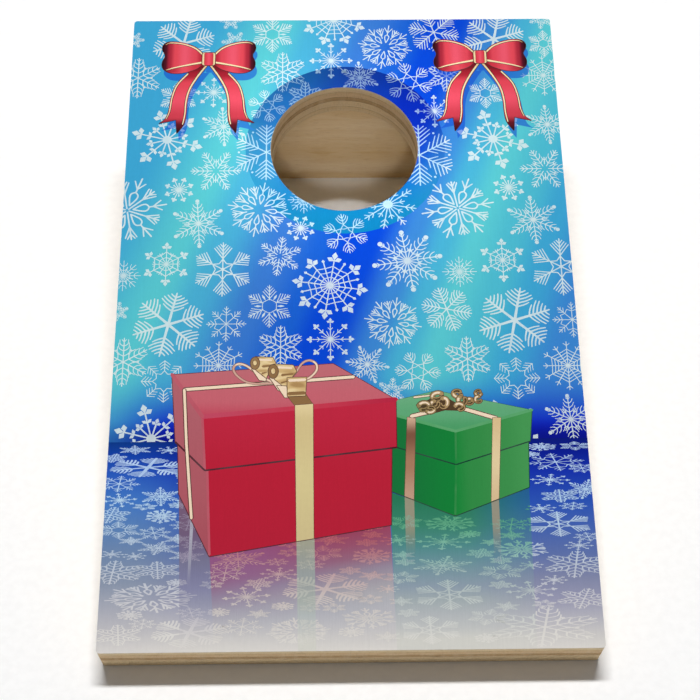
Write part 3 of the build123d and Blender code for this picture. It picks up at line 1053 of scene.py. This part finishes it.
def ply_board(name, board, outline, holes=(), pockets=(), pocket_depth=0, fall=0, arris=ARRIS, upright=False):
    """A plywood board with sawn edges. With fall, its top edge drops that much for each mm of depth.
    A pocket is a shallow recess in the outer face. The grain runs along x unless it is upright."""
    points, faces, slots, rims, pocket_rims = [], [], [], [], []
    top = max(p.y for p in outline)
    for number, line in enumerate([outline, *holes]):
        line = resample(line, EDGE_STEP)
        sign = -1 if number else 1
        rings = []
        for depth, inset in edge_profile(arris):
            ring = []
            for point, way in zip(line, inward(line)):
                waver = SAW_WAVER * (1 + noise.noise(Vector((point.x, point.y, 2 * depth)) * 0.8))
                place = point + sign * (inset + waver) * way
                ring.append(len(points))
                points.append((place.x, place.y - fall * depth * max(0.0, place.y / top), -depth))
            rings.append(ring)
        rims.append((rings[0], rings[-1]))
        for upper, lower in zip(rings, rings[1:]):
            for (a, b), (c, d) in zip(ring_pairs(upper), ring_pairs(lower)):
                faces.append([a, c, d, b][::sign])
                slots.append(EDGE)
    for pocket in pockets:
        count = len(pocket)
        rim, floor = [list(range(len(points) + k * count, len(points) + (k + 1) * count)) for k in (0, 1)]
        points += [(p.x, p.y, depth) for depth in (0, -pocket_depth) for p in pocket]
        pocket_rims.append(rim)
        faces += [[b, d, c, a] for (a, b), (c, d) in zip(ring_pairs(rim), ring_pairs(floor))] + [floor]
        slots += [FACE] * (count + 1)
    for side, extra in ((0, pocket_rims), (1, [])):
        loops = [rim[side] for rim in rims] + extra
        order = [i for loop in loops for i in loop]
        _, triangles, over = split([[vec(*points[i][:2]) for i in loop] for loop in loops])
        kept = [[order[i] for i in triangle] for triangle, ids in zip(triangles, over) if ids == {0}]
        faces += kept if side == 0 else [triangle[::-1] for triangle in kept]
        slots += [FACE] * len(kept)
    materials = [veneer(name, board, upright), ply_edge(name, board)]
    thing = mesh_object(name, points, faces, board, materials, slots, SHARP_ANGLE)
    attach(thing, "root")
    return thing


def veneer(name, board, upright):
    """A rotary-cut birch face."""
    s = Shader(name + "_veneer", roughness=0.62, specular=0.25)
    point = s.local(board)
    across, down = (1.0, 0.05) if upright else (0.05, 1.0)
    warp = s.noise(point, 0.05, 2.0)
    warped = s.add("VectorMath", {0: point, 1: s.stretched(warp, 5.0, 5.0, 5.0)}, operation="ADD")
    figure = s.noise(s.stretched(warped, 0.16 * across, 0.16 * down, 0.3), 1.0, 4.0, 0.55)
    grain = s.noise(s.stretched(warped, 1.6 * across, 1.6 * down, 1.6), 1.0, 5.0, 0.65)
    pores = s.noise(s.stretched(point, 5.5 * across, 5.5 * down, 5.5), 1.0, 2.0, 0.5)
    base = s.ramp(figure, f"0.28 {BIRCH_WARM} 0.45 {BIRCH} 0.7 {BIRCH_LIGHT}")
    streaked = s.mix(s.span(grain, 0.5, 0.75, 0.0, 0.35), base, BIRCH_WARM)
    pored = s.mix(s.span(pores, 0.6, 0.78, 0.0, 0.5), streaked, BIRCH_DARK)
    height = s.math("SUBTRACT", grain, s.math("MULTIPLY", pores, 0.5))
    return s.finish(pored, s.span(grain, 0.3, 0.7, 0.55, 0.72), height, 0.12)


def ply_edge(name, board):
    """The sawn edge: plies with long grain and plies with end grain, by turns, and dark glue lines."""
    s = Shader(name + "_ply_edge", roughness=0.75, specular=0.2)
    point = s.local(board)
    depth = s.math("MULTIPLY", s.axes(point)[2], -1.0)
    wander = s.noise(point, 0.12, 3.0)
    depth = s.math("ADD", depth, s.span(wander, 0.2, 0.8, -0.35, 0.35))
    plies = s.ramp(depth, "0 F4DEB6 2.3 EED6AA 2.38 9C7A58 2.52 E8CA9C 5.1 E8CA9E 5.25 8E6E4C 5.45 CEAC7E "
                          "6.9 C8A478 7.05 866848 7.2 EED4A8 10.2 F0D8AC 10.3 9C7A58 10.42 E8CC9E "
                          "12.7 EED6AA", "LINEAR")
    layers = s.noise(s.stretched(point, 0.12, 0.12, 3.0), 1.0, 4.0, 0.6)
    ends = s.noise(s.stretched(point, 2.4, 2.4, 0.5), 1.0, 4.0, 0.7)
    saw = s.noise(s.stretched(point, 0.5, 0.5, 0.12), 1.0, 2.0)
    layered = s.mix(s.span(layers, 0.35, 0.7, 0.0, 0.3), plies, BIRCH_DARK)
    ended = s.mix(s.span(ends, 0.52, 0.72, 0.0, 0.24), layered, "7E5A3E")
    sawn = s.mix(s.span(saw, 0.45, 0.8, 0.0, 0.4), ended, "E6D0AE")
    height = s.math("ADD", s.math("MULTIPLY", layers, 0.6), ends)
    return s.finish(sawn, s.span(ends, 0.3, 0.7, 0.65, 0.85), height, 0.25)


bag_hole_outline = circle(vec(0, HOLE_V), HOLE_RADIUS, 120)
deck_board = ply_board("deck_board", DECK, board_outline, [bag_hole_outline], arris=DECK_ARRIS, upright=True)
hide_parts("top_board")

# The back board, with a pocket in front of each brad's head
BRAD_HEIGHTS = (13, 36)
POCKET_HALF, POCKET_DEPTH = vec(0.95, 0.5), 0.6
slope = tan(TILT)
panel_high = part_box("rear_panel")[1]
back_height = panel_high.z / MM
heads = [vec(side * (HALF - PLY / 2), z) for side in (-1, 1) for z in BRAD_HEIGHTS]
back_board = ply_board(
    "back_board", board_frame((-1, 0, 0), (0, 0, 1), (0, panel_high.y, 0)),
    path(-HALF, 0, HALF, 0, HALF, back_height, -HALF, back_height),
    pockets=[[head + vec(POCKET_HALF.x * a, POCKET_HALF.y * b) for a, b in SQUARE] for head in heads],
    pocket_depth=POCKET_DEPTH, fall=slope,
)
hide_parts("rear_panel")

underside_y = deck_low.y + PLY * sin(TILT) * MM


def rail_outline(front, back, y_way):
    """A rail seen square on: level at the floor, with the slope of the deck on top."""
    front_height, back_height = [slope * (y - underside_y) / MM for y in (front, back)]
    outline = path(front / MM, 0, back / MM, 0, back / MM, back_height, front / MM, front_height)
    return outline if y_way > 0 else [vec(-p.x, p.y) for p in reversed(outline)]


for name, side in (("left", -1), ("right", 1)):
    low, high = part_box(name + "_side_rail")
    outer = board_frame((0, side, 0), (0, 0, 1), (high.x if side > 0 else low.x, 0, 0))
    rail = ply_board(name + "_rail", outer, rail_outline(low.y, high.y, side))
    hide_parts(name + "_side_rail")

# ---- Steel brads: the CAD's own solids, with a steel finish ----

s = Shader("brad_steel", roughness=0.4)
s.surface.inputs["Metallic"].default_value = 1.0
scuffs = s.noise(s.local(), 1.8, 4.0, 0.6)
tones = s.ramp(scuffs, "0.35 8C8C88 0.5 B4B4B0 0.7 CACAC6")
steel = s.finish(tones, s.span(scuffs, 0.3, 0.7, 0.3, 0.55), scuffs, 0.04)
for node, solid in frame["nodes"].items():
    if node.endswith("_brads"):
        solid.data.materials.clear()
        solid.data.materials.append(steel)

# ---- Floor, light and camera ----

FLOOR_HALF = 3.0        # metres
WORLD_STRENGTH = 0.16
KEY_SIZE = (0.7, 0.13)  # metres: shallow, so that the front edge keeps a dark strip under it
KEY_ELEVATION, KEY_DISTANCE, KEY_POWER = 78.5, 1.6, 23.5
HOLE_LAMPS = (("hole_top", 84, 25, 4.0), ("hole_front", 38, 9.5, 5.0))     # elevation, power, cone
HOLE_LAMP_DISTANCE, HOLE_LAMP_BLEND, HOLE_LAMP_RADIUS = 0.8, 0.6, 0.04
CAMERA_LENS, CAMERA_SENSOR = 78.7, 36
CAMERA_PLACE = (-5.0, -112.9, 411.6)    # u, v and n
CAMERA_ROLL, CAMERA_YAW, CAMERA_PITCH = 0.5, 0.73, -26.46

s = Shader("studio_floor", roughness=0.8, specular=0.1)
paper = s.finish(s.ramp(s.noise(s.local(), 0.4, 3.0), "0.3 F8F8F8 0.7 FCFCFC"))
floor_points = [(x * FLOOR_HALF, y * FLOOR_HALF, 0) for x, y in SQUARE]
mesh_object("studio_floor", floor_points, [(0, 1, 2, 3)], Matrix.Identity(4), [paper], [0])

scene = bpy.context.scene
scene.view_settings.view_transform = "Standard"
world = bpy.data.worlds.new("studio")
world.use_nodes = True
world.node_tree.nodes["Background"].inputs["Color"].default_value = linear("FFFFFF")
world.node_tree.nodes["Background"].inputs["Strength"].default_value = WORLD_STRENGTH
scene.world = world


def studio_light(kind, name, azimuth, elevation, distance, power, target):
    """A lamp that points at a place on the board. Azimuth 0 is in front, 90 to the right."""
    a, e = radians(azimuth), radians(elevation)
    back = Vector((sin(a) * cos(e), -cos(a) * cos(e), sin(e)))
    light = bpy.data.lights.new(name, kind)
    light.energy = power
    lamp = bpy.data.objects.new(name, light)
    lamp.location = target + back * distance
    lamp.rotation_euler = back.to_track_quat("Z", "Y").to_euler()
    lamp.visible_glossy = False     # as if through a polariser: no glare on the print
    scene.collection.objects.link(lamp)
    return light


key = studio_light("AREA", "key", 180, KEY_ELEVATION, KEY_DISTANCE, KEY_POWER, Vector())
key.shape = "RECTANGLE"
key.size, key.size_y = KEY_SIZE
hole_middle = DECK @ Vector((0, HOLE_V, -PLY / 2))
for name, elevation, power, cone in HOLE_LAMPS:
    hole_light = studio_light("SPOT", name, 0, elevation, HOLE_LAMP_DISTANCE, power, hole_middle)
    hole_light.spot_size = radians(cone)
    hole_light.spot_blend = HOLE_LAMP_BLEND
    hole_light.shadow_soft_size = HOLE_LAMP_RADIUS

camera = bpy.data.cameras.new("camera")
camera.lens = CAMERA_LENS
camera.sensor_width = CAMERA_SENSOR
camera.dof.use_dof = False
viewer = bpy.data.objects.new("camera", camera)
roll, yaw, pitch = [radians(turn) for turn in (CAMERA_ROLL, CAMERA_YAW, CAMERA_PITCH)]
to_camera = Matrix.Rotation(roll, 3, "Z") @ Matrix.Rotation(yaw, 3, "Y") @ Matrix.Rotation(pitch, 3, "X")
viewer.matrix_world = Matrix.Translation(DECK @ Vector(CAMERA_PLACE)) @ (
    Matrix.Rotation(TILT, 3, "X") @ to_camera.transposed()
).to_4x4()
scene.collection.objects.link(viewer)
scene.camera = viewer
